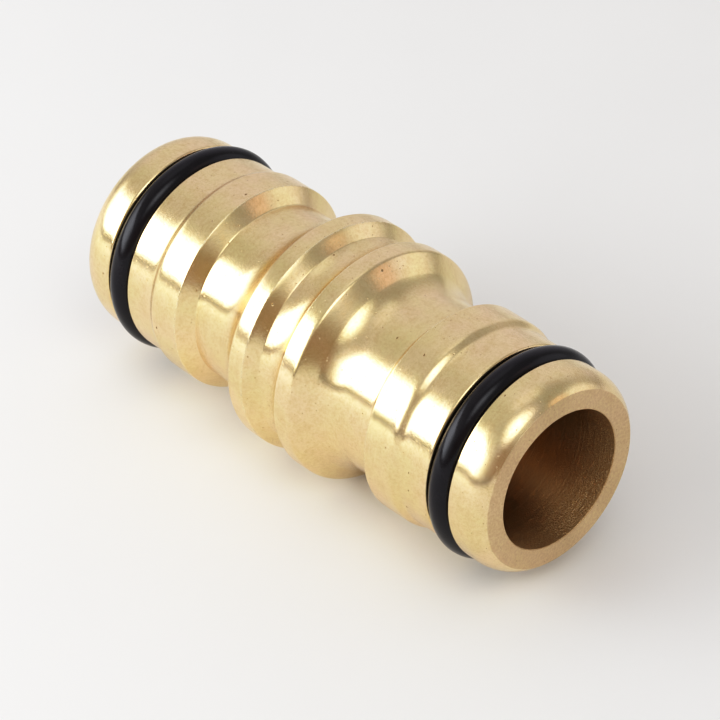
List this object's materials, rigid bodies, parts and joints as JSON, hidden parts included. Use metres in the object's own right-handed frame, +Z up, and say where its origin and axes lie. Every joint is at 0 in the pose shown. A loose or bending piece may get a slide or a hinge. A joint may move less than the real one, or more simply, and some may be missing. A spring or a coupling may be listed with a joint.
{
  "type": "two-way hose coupler",
  "caption": "Turned brass double-male quick-connect hose joiner: through-bored body with rounded noses, latch necks, a double collar and an O-ring seal near each end.",
  "frame": {"origin": "mid-length on the bore axis", "axes": "+X along the bore axis towards the front end, +Z up with the fitting lying on its side, +Y completes the right-handed frame"},
  "size_m": [0.043, 0.0186, 0.0186],
  "materials": {
    "brass": "satin turned, with fine cutting marks",
    "o_ring_rubber": "smooth, lightly greased"
  },
  "bodies": {
    "root": {"turned_body": "brass", "front_o_ring": "o_ring_rubber", "rear_o_ring": "o_ring_rubber"}
  },
  "joints": []
}
